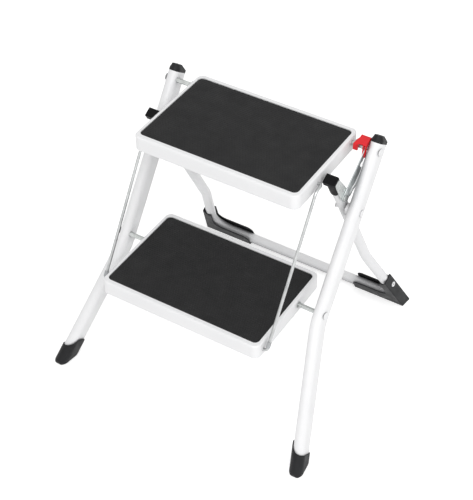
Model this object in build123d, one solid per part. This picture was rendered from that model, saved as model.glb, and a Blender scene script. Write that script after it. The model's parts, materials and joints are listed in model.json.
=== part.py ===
from build123d import *
from math import cos, radians, sin, tan
import os

# Two-step folding stool. Millimetres, +Z up, +Y to the rear, origin on the floor under the middle.
# Side-view points are (y, z). "Along" runs up a leg, "ahead" points to the front, square to it.

# Steps: a mat in a shallow recess of a folded tray
mat_thickness = 1.5
mat_half_width = 141.0
upper_mat_depth = 178.0
lower_mat_depth = 180.0
upper_mat_behind_rod = 16.0
lower_mat_behind_rod = 63.6
upper_mat_above_rod = 7.98
lower_mat_above_rod = 8.66
mat_corner_radius = 8.0
rim_side = 6.3
rim_end = 8.8
rim_rise = 1.0
rim_rounding = 3.0
tray_corner_radius = 12.0
tray_plate = 2.2
tray_wall = 2.5
tray_skirt = 26.0
rib_thickness = 2.0
rib_height = 9.0
ribs_across = 5
ribs_along = 3
bush_diameter = 13.0
bush_length = 7.0
bush_flange = 0.8
bush_flange_reach = 1.0
boss_wall = 2.5

# Side by side: the step, the wire, the rear leg and the front leg
wire_beside_step = 6.4
rear_leg_beside_step = 15.2
front_beside_rear = 5.3

# Front frame: two flat-oval legs
front_foot_y = -215.3
front_lean = 35.3
front_leg_width = 20.0
front_leg_depth = 36.0
front_leg_wall = 1.5
front_flare_below_rod = 20.0
front_flare = 11.5
front_bend_radius = 110.0
front_tube_start = 20.0

# Rods and pivots on the front frame, measured along the leg from the floor
lower_rod_along = 253.0
pivot_along = 423.9
top_rod_along = 523.4
rod_ahead = 8.4
rod_diameter = 8.0
rod_head_diameter = 12.0
rod_head_height = 1.6
head_rounding = 0.9

# Top caps: a straight band, then a slope to a smaller flat top set towards the front
tube_past_top_rod = 13.0
cap_band = 4.6
cap_height = 12.0
cap_top_depth = 20.0
cap_top_width = 13.0
cap_top_ahead = 6.5
cap_plug_depth = 12.0

# Front feet
foot_wall = 2.0
foot_height = 51.0
foot_toe_reach = 18.5
foot_sole_radius = 5.0
foot_rim_dip = 4.5
foot_dip_radius = 22.0

# Rear frame: one round tube bent to a U in a leaning plane
rear_lean = 28.3
rear_axis_behind_pivot = 3.5
rear_tube_diameter = 18.0
rear_tube_wall = 1.5
rear_tube_end = 84.0
rear_straight = 216.5
rear_flare = 12.6
rear_bend_radius = 90.0
rear_corner_radius = 35.0
rear_bar_z = 12.0

# Rear boots, with heights measured up the leaning plane from the floor
boot_wall = 1.8
boot_foot_wall = 0.6
boot_peak_wall = 1.3
boot_length = 100.0
boot_wall_height = 34.5
boot_rim_height = 87.0
boot_rim_width = 10.0
boot_peak_height = 101.0
boot_end_radius = 12.0
boot_corner_radius = 13.5
boot_rim_radius = 2.0
boot_peak_radius = 1.0
boot_edge_radius = 1.5
boot_sole_radius = 4.0
boot_rivet_height = 73.0
boot_rivet_behind = 2.0
boot_rivet_diameter = 5.0
boot_rivet_bore = 3.0
boot_rivet_length = 6.0
boot_rivet_head_diameter = 9.6
boot_rivet_head = 1.0

# Pivot between front and rear legs
pivot_spacer_diameter = 18.0
pivot_head_diameter = 12.0
pivot_tail_diameter = 9.0
pivot_tail_height = 1.0
pivot_head_height = 1.5

# Link wires between the steps
wire_diameter = 5.0
wire_bend_radius = 4.5
wire_kink_radius = 15.0
wire_pin_ahead = 107.0
wire_pin_drop = 7.0
wire_kink_ahead = 15.8
wire_kink_drop = 1.5
wire_sleeve_diameter = 7.0
wire_sleeve_length = 9.0
wire_sleeve_start = 5.0
wire_ring_diameter = 9.0
wire_ring_length = 2.0
wire_ring_gap = 0.5
wire_end_past_ring = 0.5
pin_boss_wall = 3.0

# Clips on the rear leg tops, with heights measured up the leg from the pivot
clip_wall = 1.6
clip_top = 94.5
clip_plate = 3.0
clip_back = 5.3
clip_head_length = 10.5
clip_tongue_length = 39.5
clip_tongue_wrap = 50.0
clip_tongue_corner = 5.0
clip_rounding = 1.2
clip_plug = 1.5

# Bracket on the right clip: points behind the leg's middle line and up the leg from the pivot
bracket_thickness = 1.4
bracket_corners = [(-8.5, 42.0), (1.9, 17.0), (9.2, 19.2), (11.0, 46.0), (4.9, 85.7), (0.5, 91.0), (-8.5, 91.0)]
bracket_rounding = 2.5

# Lock bar, with its long slot's way from under the rod to the hinge: along the bar and below it
lock_hinge_above_pivot = 39.0
lock_bar_thickness = 1.5
lock_hinge_diameter = 6.0
lock_hinge_head_reach = 2.0
lock_hinge_grip = 4.0
lock_boss_radius = 5.8
lock_rail = 3.0
lock_slot_rail = 4.2
lock_slot_width = 5.2
lock_slot_way = [(60.0, 14.5), (51.0, 18.2), (40.0, 17.6), (30.0, 17.2), (22.0, 13.6), (14.5, 13.4)]

# Safety catch on the lock bar's end: side-view points behind the top rod's middle and above it
catch_beside_step = 7.3
catch_short_prong = 7.4
catch_shoulder_x = 5.4
catch_shoulder_low = 8.0
catch_shoulder_rise = 6.0
catch_cheek = 2.0
catch_pivot_back = 3.5
catch_pivot_up = 8.5
catch_ear_radius = 3.3
catch_pin_diameter = 3.0
catch_pin_past = 0.8
catch_top = [(9.0, 15.5), (3.5, 14.5), (-7.0, 11.5)]
catch_lip = [(-8.7, 8.5), (-6.3, 8.5), (-4.4, 10.4), (0.0, 12.3), (9.0, 13.0)]
catch_front = [(-9.5, 7.0), (-9.8, 0.0)]
catch_tip = [(-11.5, -11.0), (-8.6, -12.5)]
catch_short_top = [(2.0, 14.2), (-7.0, 11.5)]
catch_short_tip = [(-9.6, -4.0), (-5.6, -4.0), (-4.7, 1.3), (-3.4, 3.7), (2.0, 5.1)]
catch_over_rod = [(-5.4, -4.0), (-4.7, 1.3), (-3.4, 3.7), (0.0, 4.9), (9.0, 5.6)]
catch_rounding = 0.8

# Fold: degrees turned at the end of travel, and the gearing of the rear frame and lock bar
step_fold = 115.0
rear_fold_ratio = 0.5
lock_fold_ratio = 1.5

# Clearances
running = 0.05
seated = 0.05
apart = 0.3
cam_clearance = 0.35
mat_clearance = 0.4

rod_radius = rod_diameter / 2
rear_tube_radius = rear_tube_diameter / 2
wire_radius = wire_diameter / 2
step_half_width = mat_half_width + rim_side
wire_x = step_half_width + wire_beside_step
wire_ring_x = step_half_width - bush_length - wire_ring_gap - wire_ring_length
rear_leg_x = step_half_width + rear_leg_beside_step
rear_inner_x = rear_leg_x - rear_tube_radius
rear_outer_x = rear_leg_x + rear_tube_radius
front_inner_x = rear_outer_x + front_beside_rear
front_leg_x = front_inner_x + front_leg_width / 2
front_outer_x = front_inner_x + front_leg_width
front_flare_along = lower_rod_along - front_flare_below_rod
far = 4 * front_outer_x


def on_front_leg(along, ahead=0.0):
    lean = radians(front_lean)
    y = front_foot_y + along * sin(lean) - ahead * cos(lean)
    z = along * cos(lean) + ahead * sin(lean)
    return (y, z)


def shifted(point, back, up):
    return (point[0] + back, point[1] + up)


def folded(point, centre, angle):
    # Turned about centre by angle, top to the rear.
    turn = radians(angle)
    y = point[0] - centre[0]
    z = point[1] - centre[1]
    return (centre[0] + y * cos(turn) + z * sin(turn), centre[1] - y * sin(turn) + z * cos(turn))


lower_rod = on_front_leg(lower_rod_along, rod_ahead)
top_rod = on_front_leg(top_rod_along, rod_ahead)
pivot = on_front_leg(pivot_along)
upper_pin = shifted(top_rod, -wire_pin_ahead, -wire_pin_drop)
lower_pin = shifted(lower_rod, -wire_pin_ahead, -wire_pin_drop)

# Rear frame planes: one across the U, one on edge for side-view shapes (rearward, up the leg)
rear_back = (cos(radians(rear_lean)), sin(radians(rear_lean)))
rear_axis = shifted(pivot, rear_axis_behind_pivot * rear_back[0], rear_axis_behind_pivot * rear_back[1])
rear_normal = (0, -rear_back[0], -rear_back[1])
rear_plane = Plane(origin=(0, *rear_axis), x_dir=(1, 0, 0), z_dir=rear_normal)
rear_side = Plane(origin=(0, *rear_axis), x_dir=(0, *rear_back), z_dir=(1, 0, 0))
rear_floor = -rear_axis[1] / cos(radians(rear_lean))
rear_bar = (rear_bar_z - rear_axis[1]) / cos(radians(rear_lean))
rear_corner_x = rear_leg_x + (-rear_straight - rear_bar) * tan(radians(rear_flare))

lock_hinge = folded(shifted(pivot, 0, lock_hinge_above_pivot), pivot, -rear_lean)
catch_pivot = shifted(top_rod, catch_pivot_back, catch_pivot_up)

# Layers from the rear leg out to the front leg
bracket_outer_x = rear_outer_x + bracket_thickness
lock_inner_x = bracket_outer_x + apart
lock_outer_x = lock_inner_x + lock_bar_thickness
layer_outer_x = front_inner_x - apart
fork_inner_x = lock_inner_x - apart
fork_outer_x = lock_outer_x + apart


def rod(centre, radius, start, end):
    from_end = (Align.CENTER, Align.CENTER, Align.MIN)
    return Pos(start, *centre) * Rot(0, 90, 0) * Cylinder(radius, end - start, align=from_end)


def ring(centre, outer_radius, inner_radius, start, end):
    return rod(centre, outer_radius, start, end) - rod(centre, inner_radius, start - 1, end + 1)


def side_plate(sketch, start, end):
    return extrude(Plane.YZ.offset(start) * sketch, end - start)


def disc(centre, radius):
    return Pos(*centre) * Circle(radius)


def strap(first, second, radius):
    # A band with round ends from one point to the other.
    line = Vector(*second) - Vector(*first)
    middle = (Vector(*first) + Vector(*second)) / 2
    turn = Vector(1, 0).get_signed_angle(line, Vector(0, 0, 1))
    return Pos(middle.X, middle.Y) * Rot(0, 0, turn) * SlotCenterToCenter(line.length, 2 * radius)


def chain(points, radius):
    shape = strap(points[0], points[1], radius)
    for first, second in zip(points[1:], points[2:]):
        shape += strap(first, second, radius)
    return shape


def left_of(shape):
    return mirror(shape, about=Plane.YZ)


def save(shape, node):
    export_step(shape, f"parts/{node}.step")


def save_pair(shape, node):
    save(shape, f"{node}_right")
    save(left_of(shape), f"{node}_left")


# Front frame

def front_leg_point(along):
    below = max(front_flare_along - along, 0)
    return (front_leg_x + below * tan(radians(front_flare)), *on_front_leg(along))


def front_leg_path(start, end):
    points = [front_leg_point(start), front_leg_point(front_flare_along), front_leg_point(end)]
    return FilletPolyline(*points, radius=front_bend_radius)


def oval_along(path, width, depth):
    across = Vector(0, -cos(radians(front_lean)), sin(radians(front_lean)))
    section = Plane(origin=path @ 0, x_dir=across, z_dir=path % 0) * SlotOverall(depth, width)
    return sweep(section, path=path)


def front_leg():
    top = top_rod_along + tube_past_top_rod
    path = front_leg_path(front_tube_start, top)
    inner = (front_leg_width - 2 * front_leg_wall, front_leg_depth - 2 * front_leg_wall)
    leg = oval_along(path, front_leg_width, front_leg_depth) - oval_along(path, *inner)
    for centre in (lower_rod, top_rod, pivot):
        leg -= rod(centre, rod_radius + seated, 0, far)
    return leg


def foot_block(grow, start, end):
    path = Line(front_leg_point(start), front_leg_point(end))
    return oval_along(path, front_leg_width + 2 * grow, front_leg_depth + 2 * grow)


def front_foot():
    # The floor and the toe cut the shoe off below, with all their edges rounded.
    from_toe = (Align.CENTER, Align.MIN, Align.MIN)
    room = Pos(front_leg_x, front_foot_y - foot_toe_reach, 0) * Box(far, far, far, align=from_toe)
    foot = foot_block(foot_wall, -front_leg_depth, foot_height) & room
    bottom = foot.faces().sort_by(Axis.Z)[0].edges()
    toe = foot.faces().sort_by(Axis.Y)[0].edges().sort_by(Axis.Z)[1:]
    foot = fillet(bottom + toe, foot_sole_radius)
    foot -= foot_block(seated, front_tube_start, foot_height + 1)
    # The rim dips on the inner and outer sides.
    dip = Plane(origin=front_leg_point(foot_height), z_dir=(0, -cos(radians(front_lean)), sin(radians(front_lean))))
    lift = (foot_dip_radius - foot_rim_dip) * Vector(0, sin(radians(front_lean)), cos(radians(front_lean)))
    return foot - Pos(lift) * dip * Cylinder(foot_dip_radius, far)


def cap_section(along, depth, width, ahead):
    up = Vector(0, *on_front_leg(1)) - Vector(0, *on_front_leg(0))
    across = Vector(0, -up.Z, up.Y)
    section = Plane(origin=front_leg_point(along), x_dir=across, z_dir=up)
    return section * Pos(ahead, 0) * SlotOverall(depth, width)


def top_cap():
    base = top_rod_along + tube_past_top_rod
    gap = front_leg_wall + seated
    path = Line(front_leg_point(base - cap_plug_depth), front_leg_point(base))
    plug = oval_along(path, front_leg_width - 2 * gap, front_leg_depth - 2 * gap)
    plug -= rod(top_rod, rod_radius + apart, 0, far)
    path = Line(front_leg_point(base), front_leg_point(base + cap_band))
    band = oval_along(path, front_leg_width, front_leg_depth)
    low = cap_section(base + cap_band, front_leg_depth, front_leg_width, 0)
    high = cap_section(base + cap_height, cap_top_depth, cap_top_width, cap_top_ahead)
    return plug + band + loft([low, high], ruled=True)


def rod_head(centre):
    head = rod(centre, rod_head_diameter / 2, front_outer_x, front_outer_x + rod_head_height)
    rim = head.faces().sort_by(Axis.X)[-1].edges()
    return fillet(rim, head_rounding)


def pivot_rivet():
    inner = rear_inner_x - apart
    rivet = rod(pivot, rod_radius, inner, front_outer_x)
    rivet += rod(pivot, pivot_tail_diameter / 2, inner - pivot_tail_height, inner)
    outer = rod(pivot, pivot_head_diameter / 2, front_outer_x, front_outer_x + pivot_head_height)
    rim = outer.faces().sort_by(Axis.X)[-1].edges()
    return rivet + fillet(rim, head_rounding)


def pivot_spacer():
    return ring(pivot, pivot_spacer_diameter / 2, rod_radius + seated, rear_outer_x + apart, front_inner_x)


save_pair(front_leg(), "front_leg")
save_pair(front_foot(), "front_foot")
save_pair(top_cap(), "top_cap")
save(rod(top_rod, rod_radius, -front_outer_x, front_outer_x), "top_rod")
save(rod(lower_rod, rod_radius, -front_outer_x, front_outer_x), "lower_rod")
save_pair(rod_head(top_rod), "top_rod_head")
save_pair(rod_head(lower_rod), "lower_rod_head")
save_pair(pivot_rivet(), "pivot_rivet")
save_pair(pivot_spacer(), "pivot_spacer")


# Rear frame

def rear_path():
    points = [
        (rear_leg_x, rear_tube_end),
        (rear_leg_x, -rear_straight),
        (rear_corner_x, rear_bar),
        (-rear_corner_x, rear_bar),
        (-rear_leg_x, -rear_straight),
        (-rear_leg_x, rear_tube_end),
    ]
    radii = [rear_bend_radius, rear_corner_radius, rear_corner_radius, rear_bend_radius]
    return rear_plane * FilletPolyline(*points, radius=radii)


def rear_tube(radius):
    path = rear_path()
    return sweep(Plane(origin=path @ 0, z_dir=path % 0) * Circle(radius), path=path)


def rear_frame():
    tube = rear_tube(rear_tube_radius) - rear_tube(rear_tube_radius - rear_tube_wall)
    pin = rod(pivot, rod_radius + running, rear_inner_x - 1, rear_outer_x + 1)
    hinge = rod(lock_hinge, lock_hinge_diameter / 2 + seated, rear_leg_x, rear_outer_x + 1)
    rivet = boot_rivet_plane() * Cylinder(boot_rivet_diameter / 2 + seated, 2 * rear_tube_radius)
    return tube - pin - left_of(pin) - hinge - rivet - left_of(rivet)


def rear_leg_edge(height, side):
    # Where the flared tube's outer (1) or inner (-1) edge lies at a height above the floor line.
    flare = radians(rear_flare)
    middle = rear_leg_x - (rear_straight + rear_floor + height) * tan(flare)
    return middle + side * rear_tube_radius / cos(flare)


def boot_outer_edge():
    foot = (rear_leg_edge(0, 1) + boot_foot_wall, 0)
    peak = (rear_leg_edge(boot_peak_height, 1) + boot_peak_wall, boot_peak_height)
    return (foot, peak)


def boot_outline():
    # Drawn in the rear plane, up from the floor line.
    foot, peak = boot_outer_edge()
    low = -front_leg_depth
    low_x = foot[0] + (foot[0] - peak[0]) * -low / boot_peak_height
    end_x = foot[0] - boot_length
    rim_x = rear_leg_edge(boot_rim_height, -1) + boot_wall
    points = [
        (end_x, low),
        (end_x, boot_wall_height),
        (rear_leg_edge(boot_wall_height, -1), boot_wall_height),
        (rim_x, boot_rim_height),
        (rim_x + boot_rim_width, boot_rim_height),
        peak,
        (low_x, low),
    ]
    radii = [boot_end_radius, boot_corner_radius, boot_rim_radius, boot_rim_radius, boot_peak_radius]
    edges = [FilletPolyline(*points, radius=radii), Line(points[-1], points[0])]
    return Pos(0, rear_floor) * make_face(edges)


def boot_rivet_plane():
    # On the boot's outer face and square to it.
    foot, peak = boot_outer_edge()
    x = foot[0] + (peak[0] - foot[0]) * boot_rivet_height / boot_peak_height
    centre = rear_plane.from_local_coords(Vector(x, rear_floor + boot_rivet_height, -boot_rivet_behind))
    outward = rear_plane.from_local_coords(Vector(boot_peak_height, foot[0] - peak[0])) - rear_plane.origin
    return Plane(origin=centre, z_dir=outward)


def rear_boot(tube):
    half = rear_tube_radius + boot_wall
    boot = extrude(rear_plane * boot_outline(), half, both=True)
    boot &= Box(far, far, far, align=(Align.CENTER, Align.CENTER, Align.MIN))
    side_faces = boot.faces().filter_by(Axis((0, 0, 0), rear_plane.z_dir))
    boot = fillet(side_faces.edges(), boot_edge_radius)
    # The channel over the tube is open upward, towards the inside of the U.
    inside = [
        (0, rear_bar),
        (rear_corner_x, rear_bar),
        (rear_leg_x, -rear_straight),
        (0, -rear_straight),
    ]
    corner = make_face(Polyline(*inside, close=True))
    corner = fillet(corner.vertices().sort_by(Axis.X)[-1], rear_corner_radius)
    boot -= extrude(rear_plane * corner, rear_tube_radius + seated, both=True)
    boot -= tube
    return boot - boot_rivet_plane() * Cylinder(boot_rivet_diameter / 2 + seated, 2 * rear_tube_radius)


def boot_rivet():
    below = (Align.CENTER, Align.CENTER, Align.MAX)
    above = (Align.CENTER, Align.CENTER, Align.MIN)
    rivet = Cylinder(boot_rivet_diameter / 2, boot_rivet_length, align=below)
    rivet += Cylinder(boot_rivet_head_diameter / 2, boot_rivet_head, align=above)
    return boot_rivet_plane() * (rivet - Cylinder(boot_rivet_bore / 2, 3 * boot_rivet_length))


def clip(tube):
    wrap = rear_tube_radius + clip_wall
    inner = rear_leg_x - wrap
    head_low = clip_top - clip_head_length
    tongue_low = clip_top - clip_tongue_length
    outline = [(-wrap, head_low), (clip_back, head_low), (clip_back, clip_top), (-wrap, clip_top)]
    face = make_face(Polyline(*outline, close=True))
    head = extrude(rear_side.offset(inner) * face, rear_outer_x - inner)
    outline = [(x, max(up, clip_top - clip_plate)) for x, up in outline]
    plate = extrude(rear_side.offset(inner) * make_face(Polyline(*outline, close=True)), bracket_outer_x - inner)
    plate = fillet(plate.edges().filter_by(Axis((0, 0, 0), rear_side.y_dir)), clip_rounding)
    plate = fillet(plate.faces().sort_by(Axis((0, 0, 0), rear_side.y_dir))[-1].edges(), clip_rounding)
    body = head + plate
    # A tongue wraps the front of the leg below the head.
    middle = rear_plane * Pos(rear_leg_x, (head_low + tongue_low) / 2) * Rot(90, 0, 0)
    round_leg = middle * Cylinder(wrap, head_low - tongue_low)
    width = 2 * wrap * sin(radians(clip_tongue_wrap))
    shape = Pos(rear_leg_x, head_low) * Rectangle(width, 2 * (head_low - tongue_low))
    shape = fillet(shape.vertices().group_by(Axis.Y)[0], clip_tongue_corner)
    body += round_leg & extrude(rear_plane * shape, wrap)
    body -= tube
    plug = rear_tube_radius - rear_tube_wall - seated
    top = rear_plane * Pos(rear_leg_x, rear_tube_end - clip_plug) * Rot(-90, 0, 0)
    return body + top * Cylinder(plug, clip_plug, align=(Align.CENTER, Align.CENTER, Align.MIN))


def bracket():
    outline = make_face(Polyline(*bracket_corners, close=True))
    outline = fillet(outline.vertices(), bracket_rounding)
    plate = extrude(rear_side.offset(rear_outer_x) * outline, bracket_thickness)
    return plate - rod(lock_hinge, lock_hinge_diameter / 2 + seated, rear_outer_x - 1, bracket_outer_x + 1)


def lock_hinge_rivet():
    radius = lock_hinge_diameter / 2
    shank = rod(lock_hinge, radius, rear_outer_x - lock_hinge_grip, lock_outer_x + apart)
    return shank + rod(lock_hinge, radius + lock_hinge_head_reach, lock_outer_x + apart, layer_outer_x)


solid_tube = rear_tube(rear_tube_radius + seated)
save(rear_frame(), "rear_frame")
save_pair(rear_boot(solid_tube), "rear_boot")
save_pair(boot_rivet(), "boot_rivet")
save_pair(clip(solid_tube), "leg_clip")
save(bracket(), "lock_bracket")
save(lock_hinge_rivet(), "lock_hinge_rivet")


# Steps

def step_tray(rod_centre, mat_depth, mat_behind, mat_above, pin):
    width = 2 * step_half_width
    depth = mat_depth + 2 * rim_end
    top = rod_centre[1] + mat_above + rim_rise
    rear = rod_centre[0] + mat_behind + rim_end
    middle_y = rear - depth / 2
    plate_top = top - rim_rise - mat_thickness
    plate_low = plate_top - tray_plate
    low = top - tray_skirt

    tray = extrude(Pos(0, middle_y, low) * RectangleRounded(width, depth, tray_corner_radius), tray_skirt)
    tray = fillet(tray.faces().sort_by(Axis.Z)[-1].edges(), rim_rounding)
    inner = RectangleRounded(width - 2 * tray_wall, depth - 2 * tray_wall, tray_corner_radius - tray_wall)
    tray -= extrude(Pos(0, middle_y, low) * inner, plate_low - low)
    recess = RectangleRounded(
        2 * (mat_half_width + mat_clearance), mat_depth + 2 * mat_clearance, mat_corner_radius + mat_clearance
    )
    tray -= extrude(Pos(0, middle_y, plate_top) * recess, mat_thickness + rim_rise)

    # Ribs stiffen the plate from below and keep clear of the rod.
    for i in range(ribs_across):
        x = (i - (ribs_across - 1) / 2) * width / (ribs_across + 1)
        tray += Pos(x, middle_y, plate_low - rib_height / 2) * Box(rib_thickness, depth - 2 * tray_wall, rib_height)
    for i in range(ribs_along):
        y = middle_y + (i - (ribs_along - 1) / 2) * depth / (ribs_along + 1)
        tray += Pos(0, y, plate_low - rib_height / 2) * Box(width - 2 * tray_wall, rib_thickness, rib_height)
    inside_x = width / 2 - tray_wall
    channel = rod_radius + 2 * apart
    room = Pos(0, rod_centre[0], plate_low - rib_height / 2) * Box(2 * inside_x, 2 * channel, rib_height)
    tray -= room
    for side in (-1, 1):
        tray += tray_boss(rod_centre, bush_diameter / 2 + boss_wall, inside_x, side, plate_low)
        tray += tray_boss(pin, wire_radius + pin_boss_wall, inside_x, side, plate_low)
    for centre, hole in ((rod_centre, bush_diameter / 2 + seated), (pin, wire_radius + running)):
        tray -= rod(centre, hole, -width, width)
    return tray


def tray_boss(centre, radius, inside_x, side, plate_low):
    # A thickened ring inside the skirt, under the plate.
    length = bush_length - tray_wall
    start = inside_x - length if side > 0 else -inside_x
    boss = rod(centre, radius, start, start + length)
    below = Pos(0, 0, plate_low) * Box(far, far, far, align=(Align.CENTER, Align.CENTER, Align.MAX))
    return boss & below


def step_mat(rod_centre, mat_depth, mat_behind, mat_above):
    top = rod_centre[1] + mat_above
    middle_y = rod_centre[0] + mat_behind - mat_depth / 2
    outline = RectangleRounded(2 * mat_half_width, mat_depth, mat_corner_radius)
    mat = extrude(Pos(0, middle_y, top - mat_thickness) * outline, mat_thickness)
    return chamfer(mat.faces().sort_by(Axis.Z)[-1].edges(), mat_thickness / 3)


def tray_bush(rod_centre):
    radius = bush_diameter / 2
    body = rod(rod_centre, radius, step_half_width - bush_length, step_half_width)
    body += rod(rod_centre, radius + bush_flange_reach, step_half_width, step_half_width + bush_flange)
    return body - rod(rod_centre, rod_radius + running, 0, far)


upper = (top_rod, upper_mat_depth, upper_mat_behind_rod, upper_mat_above_rod)
lower = (lower_rod, lower_mat_depth, lower_mat_behind_rod, lower_mat_above_rod)
save(step_tray(*upper, upper_pin), "upper_tray")
save(step_tray(*lower, lower_pin), "lower_tray")
save(step_mat(*upper), "upper_mat")
save(step_mat(*lower), "lower_mat")
save_pair(tray_bush(top_rod), "upper_bush")
save_pair(tray_bush(lower_rod), "lower_bush")


# Link wires

def link_wire():
    kink = shifted(upper_pin, -wire_kink_ahead, -wire_kink_drop)
    end = wire_ring_x - wire_end_past_ring
    points = [(end, *upper_pin), (wire_x, *upper_pin), (wire_x, *kink), (wire_x, *lower_pin), (end, *lower_pin)]
    path = FilletPolyline(*points, radius=[wire_bend_radius, wire_kink_radius, wire_bend_radius])
    return sweep(Plane(origin=path @ 0, z_dir=path % 0) * Circle(wire_radius), path=path)


def wire_sleeve():
    kink = Vector(wire_x, *shifted(upper_pin, -wire_kink_ahead, -wire_kink_drop))
    end = Vector(wire_x, *lower_pin)
    up = (kink - end).normalized()
    base = Plane(origin=end + up * wire_sleeve_start, z_dir=up)
    outline = Circle(wire_sleeve_diameter / 2) - Circle(wire_radius + seated)
    return extrude(base * outline, wire_sleeve_length)


def wire_rings():
    size = (wire_ring_diameter / 2, wire_radius + seated, wire_ring_x, wire_ring_x + wire_ring_length)
    return Compound(children=[ring(pin, *size) for pin in (upper_pin, lower_pin)])


save_pair(link_wire(), "link_wire")
save_pair(wire_sleeve(), "wire_sleeve")
save_pair(wire_rings(), "wire_rings")


# Lock bar and safety catch

def cam_point(fold):
    # Where the top rod lies in the bar's own frame once the rear frame has folded.
    hinge = folded(lock_hinge, pivot, fold)
    rod_seen = folded(top_rod, hinge, fold * (lock_fold_ratio - 1))
    return shifted(rod_seen, lock_hinge[0] - hinge[0], lock_hinge[1] - hinge[1])


def bar_point(along, below):
    # Along the bar's middle line from the hinge to the rod, and square below it.
    line = Vector(*top_rod) - Vector(*lock_hinge)
    ahead = line.normalized()
    return shifted(lock_hinge, along * ahead.X + below * ahead.Y, along * ahead.Y - below * ahead.X)


def lock_bar():
    steps = 10
    rear_fold = step_fold * rear_fold_ratio
    cam = [cam_point(rear_fold * i / steps) for i in range(steps + 1)]
    cam_radius = rod_radius + cam_clearance
    way = [bar_point(*point) for point in lock_slot_way]
    slot_radius = lock_slot_width / 2
    outline = strap(lock_hinge, top_rod, lock_boss_radius)
    outline += strap(top_rod, catch_pivot, catch_ear_radius)
    outline += chain(cam, cam_radius + lock_rail)
    outline += chain(way, slot_radius + lock_slot_rail)
    outline += make_face(Polyline(lock_hinge, top_rod, *way, close=True))
    outline -= chain(cam, cam_radius)
    outline -= strap(cam[-4], way[0], slot_radius)
    outline -= chain(way, slot_radius)
    outline -= disc(lock_hinge, lock_hinge_diameter / 2 + running)
    outline -= disc(catch_pivot, catch_pin_diameter / 2 + seated)
    return side_plate(outline, lock_inner_x, lock_outer_x)


def catch_side(points):
    outline = make_face(Polyline(*[shifted(top_rod, *point) for point in points], close=True))
    return fillet(outline.vertices(), catch_rounding)


def safety_catch():
    hood = catch_side(catch_top + catch_lip)
    cheek = catch_side(catch_top + catch_front + catch_tip + catch_over_rod)
    prong = catch_side(catch_short_top + catch_front + catch_short_tip)
    inner_x = step_half_width + catch_beside_step
    # The short prong lies under a shoulder that slopes down towards the step.
    catch = side_plate(prong, inner_x, inner_x + catch_short_prong)
    low = top_rod[1] + catch_shoulder_low
    slope = [
        (inner_x, low),
        (inner_x + 2 * catch_shoulder_x, low + 2 * catch_shoulder_rise),
        (inner_x, low + 2 * catch_shoulder_rise),
    ]
    catch -= extrude(Plane.XZ * make_face(Polyline(*slope, close=True)), far, both=True)
    # The hood runs on over the bar, which lies between two cheeks.
    catch += side_plate(hood, inner_x + catch_shoulder_x, fork_inner_x - catch_cheek)
    catch += side_plate(cheek, fork_inner_x - catch_cheek, fork_inner_x)
    catch += side_plate(hood, fork_inner_x, fork_outer_x)
    catch += side_plate(cheek, fork_outer_x, layer_outer_x)
    return catch - rod(catch_pivot, catch_pin_diameter / 2 + running, 0, far)


def catch_pin():
    start = fork_inner_x - catch_cheek - catch_pin_past
    return rod(catch_pivot, catch_pin_diameter / 2, start, layer_outer_x)


save(lock_bar(), "lock_bar")
save(catch_pin(), "catch_pin")
save(safety_catch(), "safety_catch")
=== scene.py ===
import json
import math

import bpy
from mathutils import Matrix, Vector


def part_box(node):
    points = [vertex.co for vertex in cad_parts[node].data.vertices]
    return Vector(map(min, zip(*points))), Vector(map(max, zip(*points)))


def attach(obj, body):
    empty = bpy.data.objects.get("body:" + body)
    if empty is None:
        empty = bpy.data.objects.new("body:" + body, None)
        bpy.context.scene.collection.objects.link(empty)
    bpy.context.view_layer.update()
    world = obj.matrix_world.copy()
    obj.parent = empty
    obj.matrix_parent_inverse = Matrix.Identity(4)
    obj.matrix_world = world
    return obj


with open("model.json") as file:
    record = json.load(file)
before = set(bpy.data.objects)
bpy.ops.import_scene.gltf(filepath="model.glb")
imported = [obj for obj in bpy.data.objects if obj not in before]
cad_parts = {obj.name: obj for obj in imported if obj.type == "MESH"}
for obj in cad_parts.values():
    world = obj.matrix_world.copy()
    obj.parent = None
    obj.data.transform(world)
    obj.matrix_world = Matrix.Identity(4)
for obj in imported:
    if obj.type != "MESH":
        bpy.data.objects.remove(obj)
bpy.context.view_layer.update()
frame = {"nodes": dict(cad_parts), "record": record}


def newMaterial(name):
    mat = bpy.data.materials.new(name)
    mat.use_nodes = True
    tree = mat.node_tree
    tree.nodes.clear()
    out = tree.nodes.new("ShaderNodeOutputMaterial")
    shader = tree.nodes.new("ShaderNodeBsdfPrincipled")
    tree.links.new(shader.outputs["BSDF"], out.inputs["Surface"])
    return mat, tree, shader


def objectNoise(tree, scale, detail=2.0, rough=0.5, stretch=(1, 1, 1)):  # fixed to the piece
    coord = tree.nodes.new("ShaderNodeTexCoord")
    mapping = tree.nodes.new("ShaderNodeMapping")
    mapping.inputs["Scale"].default_value = stretch
    noise = tree.nodes.new("ShaderNodeTexNoise")
    noise.inputs["Scale"].default_value = scale
    noise.inputs["Detail"].default_value = detail
    noise.inputs["Roughness"].default_value = rough
    tree.links.new(coord.outputs["Object"], mapping.inputs["Vector"])
    tree.links.new(mapping.outputs["Vector"], noise.inputs["Vector"])
    return noise.outputs["Fac"]


def ramp(tree, source, low, high, lowColor, highColor):
    node = tree.nodes.new("ShaderNodeValToRGB")
    node.color_ramp.elements[0].position = low
    node.color_ramp.elements[0].color = (*lowColor, 1)
    node.color_ramp.elements[1].position = high
    node.color_ramp.elements[1].color = (*highColor, 1)
    tree.links.new(source, node.inputs["Fac"])
    return node.outputs["Color"]


def mapRange(tree, source, fromLow, fromHigh, toLow, toHigh):
    node = tree.nodes.new("ShaderNodeMapRange")
    node.inputs["From Min"].default_value = fromLow
    node.inputs["From Max"].default_value = fromHigh
    node.inputs["To Min"].default_value = toLow
    node.inputs["To Max"].default_value = toHigh
    tree.links.new(source, node.inputs["Value"])
    return node.outputs["Result"]


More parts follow.
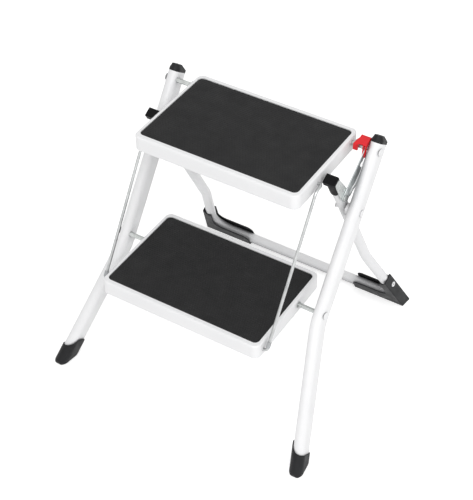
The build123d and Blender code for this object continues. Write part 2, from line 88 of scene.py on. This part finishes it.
nodeSamples = 4  # for the edge and crevice nodes
edgeLean = (0.99, 0.85)  # where an edge's rounded normal starts to count, and counts fully
shelterRange = (0.35, 1.0)  # how open the deepest crevice and the open surface are, for the painted shade in the crevices


def softEdges(tree, radius):  # rounded normals along the edges, and how far they lean there
    rounded = tree.nodes.new("ShaderNodeBevel")
    rounded.samples = nodeSamples
    rounded.inputs["Radius"].default_value = radius
    surface = tree.nodes.new("ShaderNodeNewGeometry")
    dot = tree.nodes.new("ShaderNodeVectorMath")
    dot.operation = "DOT_PRODUCT"
    tree.links.new(rounded.outputs["Normal"], dot.inputs[0])
    tree.links.new(surface.outputs["Normal"], dot.inputs[1])
    return rounded.outputs["Normal"], mapRange(tree, dot.outputs["Value"], *edgeLean, 0.0, 1.0)


def crevices(tree, reach):  # 1 deep in a corner or channel, 0 in the open: where the painted shade goes
    shelter = tree.nodes.new("ShaderNodeAmbientOcclusion")
    shelter.samples = nodeSamples
    shelter.inputs["Distance"].default_value = reach
    return mapRange(tree, shelter.outputs["AO"], *shelterRange, 1.0, 0.0)


def mixColor(tree, factor, first, second):
    node = tree.nodes.new("ShaderNodeMix")
    node.data_type = "RGBA"
    tree.links.new(factor, node.inputs["Factor"])
    tree.links.new(first, node.inputs["A"])
    node.inputs["B"].default_value = (*second, 1)
    return node.outputs["Result"]


def calculate(tree, operation, first, second):  # each side is a number or another node's result
    node = tree.nodes.new("ShaderNodeMath")
    node.operation = operation
    for socket, value in zip(node.inputs, (first, second)):
        if isinstance(value, float):
            socket.default_value = value
        else:
            tree.links.new(value, socket)
    return node.outputs[0]


def times(tree, first, second):
    return calculate(tree, "MULTIPLY", first, second)


def bump(tree, shader, source, distance, strength, below=None):
    node = tree.nodes.new("ShaderNodeBump")
    node.inputs["Strength"].default_value = strength
    node.inputs["Distance"].default_value = distance
    tree.links.new(source, node.inputs["Height"])
    if below:
        tree.links.new(below, node.inputs["Normal"])
    tree.links.new(node.outputs["Normal"], shader.inputs["Normal"])


shared = {  # how the noises are cut, the same in every finish
    "drift": {"detail": 4, "rough": 0.6}, "driftRange": (0.32, 0.7),
    "scuff": {"detail": 5, "rough": 0.65}, "scuffRange": (0.45, 0.7),
    "sheen": {"detail": 4}, "sheenRange": (0.3, 0.7),
    "coatRoughness": 0.2,
}


def makeFinish(name, size):  # drift of the tone, worn edges, painted shade darkening the crevices, sheen and grain
    mat, tree, shader = newMaterial(name)
    drift = objectNoise(tree, size["driftSize"], **shared["drift"])
    tone = ramp(tree, drift, *shared["driftRange"], size["shade"], size["color"])
    normal, edge = softEdges(tree, size["edgeRadius"])
    scuff = objectNoise(tree, size["scuffSize"], **shared["scuff"])
    scuff = mapRange(tree, scuff, *shared["scuffRange"], 0.0, 1.0)
    worn = times(tree, times(tree, edge, scuff), size["edgeWear"])
    tone = mixColor(tree, worn, tone, size["wornColor"])
    # painted shade: the colour is darkened in corners and channels, as deep as the occlusion node
    # finds them
    if size["creviceShade"]:
        paintedShade = times(tree, crevices(tree, size["creviceShadeReach"]), size["creviceShade"])
        tone = mixColor(tree, paintedShade, tone, size["creviceShadeColor"])
    tree.links.new(tone, shader.inputs["Base Color"])
    sheen = objectNoise(tree, size["sheenSize"], **shared["sheen"])
    level = mapRange(tree, sheen, *shared["sheenRange"], *size["roughness"])
    tree.links.new(level, shader.inputs["Roughness"])
    grain = objectNoise(tree, size["grainSize"], stretch=size["grainStretch"])
    bump(tree, shader, grain, size["grainDepth"], size["grainStrength"], normal)
    shader.inputs["Metallic"].default_value = size["metallic"]
    shader.inputs["Specular IOR Level"].default_value = size["specular"]
    shader.inputs["Coat Weight"].default_value = size["coat"]
    shader.inputs["Coat Roughness"].default_value = shared["coatRoughness"]
    return mat


powderCoat = {
    "color": (0.88, 0.88, 0.885), "shade": (0.835, 0.835, 0.845), "driftSize": 9.0,
    "wornColor": (0.70, 0.70, 0.70), "edgeRadius": 0.0006, "edgeWear": 0.35, "scuffSize": 70.0,
    "roughness": (0.30, 0.44), "sheenSize": 45.0,
    "grainSize": 900.0, "grainStretch": (1, 1, 1), "grainDepth": 0.00012, "grainStrength": 0.35,
    "metallic": 0.0, "specular": 0.5, "coat": 0.12,
    # painted shade in the crevices: its strength, reach and dark colour
    "creviceShade": 1.0, "creviceShadeReach": 0.03, "creviceShadeColor": (0.28, 0.28, 0.29),
}

stepCoat = dict(powderCoat, roughness=(0.36, 0.5), grainSize=1300.0, edgeRadius=0.0008,
                coat=0.05, creviceShade=0.4)

whitePlastic = dict(powderCoat, roughness=(0.42, 0.55), grainSize=2200.0, edgeRadius=0.0004,
                    coat=0.0, creviceShade=0.3)

blackPlastic = {
    "color": (0.015, 0.0155, 0.017), "shade": (0.010, 0.010, 0.011), "driftSize": 30.0,
    "wornColor": (0.085, 0.085, 0.09), "edgeRadius": 0.0009, "edgeWear": 0.6, "scuffSize": 160.0,
    "roughness": (0.42, 0.58), "sheenSize": 80.0,
    "grainSize": 2600.0, "grainStretch": (1, 1, 1), "grainDepth": 0.0002, "grainStrength": 0.3,
    "metallic": 0.0, "specular": 0.22, "coat": 0.0,
    "creviceShade": 0.0,
}

clipPlastic = dict(blackPlastic, color=(0.004, 0.004, 0.005), shade=(0.003, 0.003, 0.003),
                   specular=0.12)

sleevePlastic = dict(blackPlastic, color=(0.46, 0.47, 0.48), shade=(0.38, 0.39, 0.40),
                     wornColor=(0.6, 0.6, 0.61))

matRubber = {
    "color": (0.0170, 0.0170, 0.0175), "shade": (0.0150, 0.0150, 0.0155), "driftSize": 14.0,
    "wornColor": (0.05, 0.05, 0.05), "edgeRadius": 0.0004, "edgeWear": 0.4, "scuffSize": 220.0,
    "roughness": (0.62, 0.78), "sheenSize": 40.0,
    "grainSize": 1500.0, "grainStretch": (1, 1, 1), "grainDepth": 0.0003, "grainStrength": 0.4,
    "metallic": 0.0, "specular": 0.25, "coat": 0.0,
    "creviceShade": 0.0,
}

redPlastic = {
    "color": (0.78, 0.020, 0.028), "shade": (0.68, 0.014, 0.020), "driftSize": 60.0,
    "wornColor": (0.85, 0.12, 0.12), "edgeRadius": 0.0007, "edgeWear": 0.5, "scuffSize": 260.0,
    "roughness": (0.26, 0.4), "sheenSize": 90.0,
    "grainSize": 1800.0, "grainStretch": (1, 1, 1), "grainDepth": 0.0001, "grainStrength": 0.25,
    "metallic": 0.0, "specular": 0.35, "coat": 0.0,
    "creviceShade": 0.0,
}

zincPlate = {
    "color": (0.66, 0.68, 0.67), "shade": (0.50, 0.52, 0.51), "driftSize": 120.0,
    "wornColor": (0.85, 0.86, 0.85), "edgeRadius": 0.0004, "edgeWear": 0.6, "scuffSize": 300.0,
    "roughness": (0.22, 0.4), "sheenSize": 140.0,
    "grainSize": 700.0, "grainStretch": (0.15, 1, 1), "grainDepth": 0.00008, "grainStrength": 0.3,
    "metallic": 1.0, "specular": 0.5, "coat": 0.0,
    # painted shade in the crevices, with a short reach
    "creviceShade": 0.5, "creviceShadeReach": 0.006, "creviceShadeColor": (0.22, 0.23, 0.23),
}

barZinc = dict(zincPlate, color=(0.74, 0.77, 0.77), shade=(0.60, 0.64, 0.64),
               roughness=(0.35, 0.5), creviceShade=0.3)

wireSteel = dict(zincPlate, color=(0.58, 0.59, 0.59), shade=(0.46, 0.47, 0.47),
                 roughness=(0.25, 0.4))

finishes = {
    "white_frame": makeFinish("whitePowderCoat", powderCoat),
    "white_step": makeFinish("whiteStepCoat", stepCoat),
    "white_plastic": makeFinish("whitePlastic", whitePlastic),
    "black_plastic": makeFinish("blackPlastic", blackPlastic),
    "grey_plastic": makeFinish("greyPlastic", sleevePlastic),
    "red_plastic": makeFinish("redPlastic", redPlastic),
    "mat": makeFinish("matRubber", matRubber),
    "zinc": makeFinish("zincPlate", zincPlate),
}
ownFinish = {  # pieces whose look departs from their slot's
    "leg_clip_left": makeFinish("clipPlastic", clipPlastic),
    "lock_bar": makeFinish("barZinc", barZinc),
    "link_wire_left": makeFinish("wireSteel", wireSteel),
}
for leftName in ("leg_clip_left", "link_wire_left"):
    ownFinish[leftName.replace("_left", "_right")] = ownFinish[leftName]

slotOf = {part["node"]: part["material_slot"] for part in frame["record"]["subparts"]}
for nodeName, cadPart in frame["nodes"].items():
    finish = ownFinish.get(nodeName, finishes[slotOf[nodeName]])
    if not cadPart.material_slots:
        cadPart.data.materials.append(finish)
    for holder in cadPart.material_slots:
        holder.material = finish
print("finishes put on", len(frame["nodes"]), "frame pieces")


def startTree(name, inputs):  # a tree with one named input for each size
    tree = bpy.data.node_groups.new(name, "GeometryNodeTree")
    tree.interface.new_socket("Geometry", in_out="INPUT", socket_type="NodeSocketGeometry")
    for label, value in inputs.items():
        kind = "NodeSocketInt" if isinstance(value, int) else "NodeSocketFloat"
        tree.interface.new_socket(label, in_out="INPUT", socket_type=kind)
    tree.interface.new_socket("Geometry", in_out="OUTPUT", socket_type="NodeSocketGeometry")
    return tree, tree.nodes.new("NodeGroupInput")


def endTree(tree, instances, finish):  # the repeats become real, coated mesh
    realize = tree.nodes.new("GeometryNodeRealizeInstances")
    coated = tree.nodes.new("GeometryNodeSetMaterial")
    coated.inputs["Material"].default_value = finish
    out = tree.nodes.new("NodeGroupOutput")
    tree.links.new(instances, realize.inputs["Geometry"])
    tree.links.new(realize.outputs["Geometry"], coated.inputs["Geometry"])
    tree.links.new(coated.outputs["Geometry"], out.inputs["Geometry"])


def grow(name, tree, inputs, places, body):  # runs a tree on its places, keeps plain mesh
    seeds = bpy.data.meshes.new(name + "Places")
    seeds.from_pydata(places, [], [])
    piece = bpy.data.objects.new(name, seeds)
    bpy.context.collection.objects.link(piece)
    modifier = piece.modifiers.new(name, "NODES")
    modifier.node_group = tree
    for item in tree.interface.items_tree:
        if item.in_out == "INPUT" and item.name in inputs:
            modifier[item.identifier] = inputs[item.name]
    bpy.context.view_layer.update()
    grown = piece.evaluated_get(bpy.context.evaluated_depsgraph_get())
    result = bpy.data.meshes.new_from_object(grown)
    piece.modifiers.clear()
    piece.data = result
    result.name = name
    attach(piece, body)


def vector(tree, x=None, y=None, z=None):
    node = tree.nodes.new("ShaderNodeCombineXYZ")
    for socket, value in zip(node.inputs, (x, y, z)):
        if isinstance(value, float):
            socket.default_value = value
        elif value is not None:
            tree.links.new(value, socket)
    return node.outputs[0]


matRib = {"Length": 0.270, "Width": 0.0022, "Height": 0.00022}
matRibRows = {"pitch": 0.0042, "endMargin": 0.006, "sideMargin": 0.006, "roundSteps": 12}


def makeMatRibTree(finish):  # one low rounded rib across the step, at each place
    tree, given = startTree("matRibs", matRib)
    half = times(tree, given.outputs["Length"], 0.5)
    line = tree.nodes.new("GeometryNodeCurvePrimitiveLine")
    tree.links.new(vector(tree, times(tree, half, -1.0)), line.inputs["Start"])
    tree.links.new(vector(tree, half), line.inputs["End"])
    circle = tree.nodes.new("GeometryNodeCurvePrimitiveCircle")
    circle.inputs["Resolution"].default_value = matRibRows["roundSteps"]
    circle.inputs["Radius"].default_value = 1.0
    flat = tree.nodes.new("GeometryNodeTransform")
    tree.links.new(circle.outputs["Curve"], flat.inputs["Geometry"])
    sizes = vector(tree, times(tree, given.outputs["Width"], 0.5), given.outputs["Height"], 1.0)
    tree.links.new(sizes, flat.inputs["Scale"])
    rib = tree.nodes.new("GeometryNodeCurveToMesh")
    rib.inputs["Fill Caps"].default_value = True
    tree.links.new(line.outputs["Curve"], rib.inputs["Curve"])
    tree.links.new(flat.outputs["Geometry"], rib.inputs["Profile Curve"])
    rows = tree.nodes.new("GeometryNodeInstanceOnPoints")
    tree.links.new(given.outputs["Geometry"], rows.inputs["Points"])
    tree.links.new(rib.outputs["Mesh"], rows.inputs["Instance"])
    endTree(tree, rows.outputs["Instances"], finish)
    return tree


def makeMatRibs(tree, step):
    low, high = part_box(step + "_mat")
    rows = matRibRows
    inputs = dict(matRib, Length=high[0] - low[0] - 2 * rows["sideMargin"])
    room = high[1] - low[1] - 2 * rows["endMargin"]
    count = int(room / rows["pitch"]) + 1
    start = (low[1] + high[1]) / 2 - (count - 1) * rows["pitch"] / 2
    places = [(0, start + row * rows["pitch"], high[2]) for row in range(count)]
    grow(step + "MatRibs", tree, inputs, places, step + "_step")
    print(step, "mat has", count, "ribs")


matRibTree = makeMatRibTree(finishes["mat"])
makeMatRibs(matRibTree, "upper")
makeMatRibs(matRibTree, "lower")


pushNut = {"Hole": 0.0040, "Rim": 0.0062, "Thickness": 0.0005, "Fingers": 8, "FingerWidth": 0.0017}
pushNutShares = {  # places as shares of the hole and rim added, lengths as shares of their gap
    "rimPlace": 0.54, "rimLength": 0.45, "fingerPlace": 0.475, "fingerLength": 0.62,
    "roundSteps": 40,
}


def makePushNutTree(finish):  # a spring washer with a ring of short fingers that grip the rod
    tree, given = startTree("pushNuts", pushNut)
    shares = pushNutShares
    both = calculate(tree, "ADD", given.outputs["Hole"], given.outputs["Rim"])
    gap = calculate(tree, "SUBTRACT", given.outputs["Rim"], given.outputs["Hole"])
    loop = tree.nodes.new("GeometryNodeCurvePrimitiveCircle")
    loop.inputs["Resolution"].default_value = shares["roundSteps"]
    tree.links.new(times(tree, both, shares["rimPlace"]), loop.inputs["Radius"])
    bar = tree.nodes.new("GeometryNodeCurvePrimitiveQuadrilateral")
    tree.links.new(times(tree, gap, shares["rimLength"]), bar.inputs["Width"])
    tree.links.new(given.outputs["Thickness"], bar.inputs["Height"])
    rim = tree.nodes.new("GeometryNodeCurveToMesh")
    tree.links.new(loop.outputs["Curve"], rim.inputs["Curve"])
    tree.links.new(bar.outputs["Curve"], rim.inputs["Profile Curve"])
    finger = tree.nodes.new("GeometryNodeMeshCube")
    length = times(tree, gap, shares["fingerLength"])
    sizes = vector(tree, length, given.outputs["FingerWidth"], given.outputs["Thickness"])
    tree.links.new(sizes, finger.inputs["Size"])
    seats = tree.nodes.new("GeometryNodeMeshCircle")
    tree.links.new(given.outputs["Fingers"], seats.inputs["Vertices"])
    tree.links.new(times(tree, both, shares["fingerPlace"]), seats.inputs["Radius"])
    step = calculate(tree, "DIVIDE", 2 * math.pi, given.outputs["Fingers"])
    index = tree.nodes.new("GeometryNodeInputIndex")
    turn = vector(tree, 0.0, 0.0, times(tree, step, index.outputs[0]))
    ring = tree.nodes.new("GeometryNodeInstanceOnPoints")
    tree.links.new(seats.outputs["Mesh"], ring.inputs["Points"])
    tree.links.new(finger.outputs["Mesh"], ring.inputs["Instance"])
    tree.links.new(turn, ring.inputs["Rotation"])
    whole = tree.nodes.new("GeometryNodeJoinGeometry")
    tree.links.new(rim.outputs["Mesh"], whole.inputs["Geometry"])
    tree.links.new(ring.outputs["Instances"], whole.inputs["Geometry"])
    upright = tree.nodes.new("GeometryNodeTransform")
    upright.inputs["Rotation"].default_value = (0, math.pi / 2, 0)
    tree.links.new(whole.outputs["Geometry"], upright.inputs["Geometry"])
    nuts = tree.nodes.new("GeometryNodeInstanceOnPoints")
    tree.links.new(given.outputs["Geometry"], nuts.inputs["Points"])
    tree.links.new(upright.outputs["Geometry"], nuts.inputs["Instance"])
    endTree(tree, nuts.outputs["Instances"], finish)
    return tree


def makePushNuts():  # one at each end of the lower rod, beside the step's bushes
    low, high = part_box("lower_rod")
    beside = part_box("lower_bush_right")[1][0] + 2 * pushNut["Thickness"]
    axis = ((low[1] + high[1]) / 2, (low[2] + high[2]) / 2)
    places = [(side * beside, *axis) for side in (-1, 1)]
    grow("pushNuts", makePushNutTree(finishes["zinc"]), pushNut, places, "front_frame")
    print("push nuts:", len(places))


makePushNuts()


studio = {
    "floorColor": (0.88, 0.88, 0.88), "floorSize": 12.0, "floorGlow": 0.50,
    "floorRoughness": 0.9, "floorSpecular": 0.1, "worldStrength": 0.62,
    "keyPlace": (0.9, -1.9, 2.3), "keySize": (1.6, 1.6), "keyWatts": 32,
    "fillPlace": (2.2, -0.6, 1.6), "fillSize": (1.8, 1.8), "fillWatts": 11,
    "aim": (0, 0, 0.2),
}


def seenOrReflected(tree):  # 1 for what is seen, also in or through a piece, and 0 for its light
    path = tree.nodes.new("ShaderNodeLightPath")
    seen = path.outputs["Is Camera Ray"]
    for ray in ("Is Glossy Ray", "Is Transmission Ray"):
        seen = calculate(tree, "MAXIMUM", seen, path.outputs[ray])
    return seen


def makeFloor():
    half = studio["floorSize"] / 2
    mesh = bpy.data.meshes.new("floor")
    corners = [(-half, -half, 0), (half, -half, 0), (half, half, 0), (-half, half, 0)]
    mesh.from_pydata(corners, [], [(0, 1, 2, 3)])
    floor = bpy.data.objects.new("floor", mesh)
    bpy.context.collection.objects.link(floor)
    mat, tree, shader = newMaterial("floorPaper")
    shader.inputs["Base Color"].default_value = (*studio["floorColor"], 1)
    shader.inputs["Roughness"].default_value = studio["floorRoughness"]
    shader.inputs["Specular IOR Level"].default_value = studio["floorSpecular"]
    shader.inputs["Emission Color"].default_value = (1, 1, 1, 1)
    glow = times(tree, seenOrReflected(tree), studio["floorGlow"])
    tree.links.new(glow, shader.inputs["Emission Strength"])
    mesh.materials.append(mat)


def makeWorld():
    world = bpy.data.worlds.new("studioWorld")
    bpy.context.scene.world = world
    world.use_nodes = True
    tree = world.node_tree
    tree.nodes.clear()
    out = tree.nodes.new("ShaderNodeOutputWorld")
    lit = tree.nodes.new("ShaderNodeBackground")
    seen = tree.nodes.new("ShaderNodeBackground")
    mix = tree.nodes.new("ShaderNodeMixShader")
    lit.inputs["Color"].default_value = (1, 1, 1, 1)
    lit.inputs["Strength"].default_value = studio["worldStrength"]
    seen.inputs["Color"].default_value = (1, 1, 1, 1)
    seen.inputs["Strength"].default_value = 1.0
    tree.links.new(seenOrReflected(tree), mix.inputs["Fac"])
    tree.links.new(lit.outputs[0], mix.inputs[1])
    tree.links.new(seen.outputs[0], mix.inputs[2])
    tree.links.new(mix.outputs[0], out.inputs["Surface"])


def addSoftbox(name, place, size, watts):
    data = bpy.data.lights.new(name, "AREA")
    data.shape = "RECTANGLE"
    data.size, data.size_y = size
    data.energy = watts
    lamp = bpy.data.objects.new(name, data)
    bpy.context.collection.objects.link(lamp)
    lamp.location = place
    beam = Vector(studio["aim"]) - Vector(place)
    lamp.rotation_euler = beam.to_track_quat("-Z", "Y").to_euler()


viewpoint = {
    "place": (0.8463, -1.3795, 1.6699), "azimuth": 31.96, "elevation": 42.26, "roll": -0.41,
    "lens": 93.9, "sensorWidth": 36, "nearest": 0.05, "furthest": 50,
}


def makeCamera():
    data = bpy.data.cameras.new("camera")
    data.lens = viewpoint["lens"]
    data.sensor_width = viewpoint["sensorWidth"]
    data.clip_start = viewpoint["nearest"]
    data.clip_end = viewpoint["furthest"]
    camera = bpy.data.objects.new("camera", data)
    bpy.context.collection.objects.link(camera)
    turn = Matrix.Rotation(math.radians(viewpoint["azimuth"]), 4, "Z")
    tilt = Matrix.Rotation(math.radians(90 - viewpoint["elevation"]), 4, "X")
    roll = Matrix.Rotation(math.radians(viewpoint["roll"]), 4, "Z")
    camera.matrix_world = Matrix.Translation(viewpoint["place"]) @ turn @ tilt @ roll
    bpy.context.scene.camera = camera


makeFloor()
makeWorld()
addSoftbox("keyLight", studio["keyPlace"], studio["keySize"], studio["keyWatts"])
addSoftbox("fillLight", studio["fillPlace"], studio["fillSize"], studio["fillWatts"])
makeCamera()
bpy.context.scene.view_settings.view_transform = "Standard"
print("stage set")
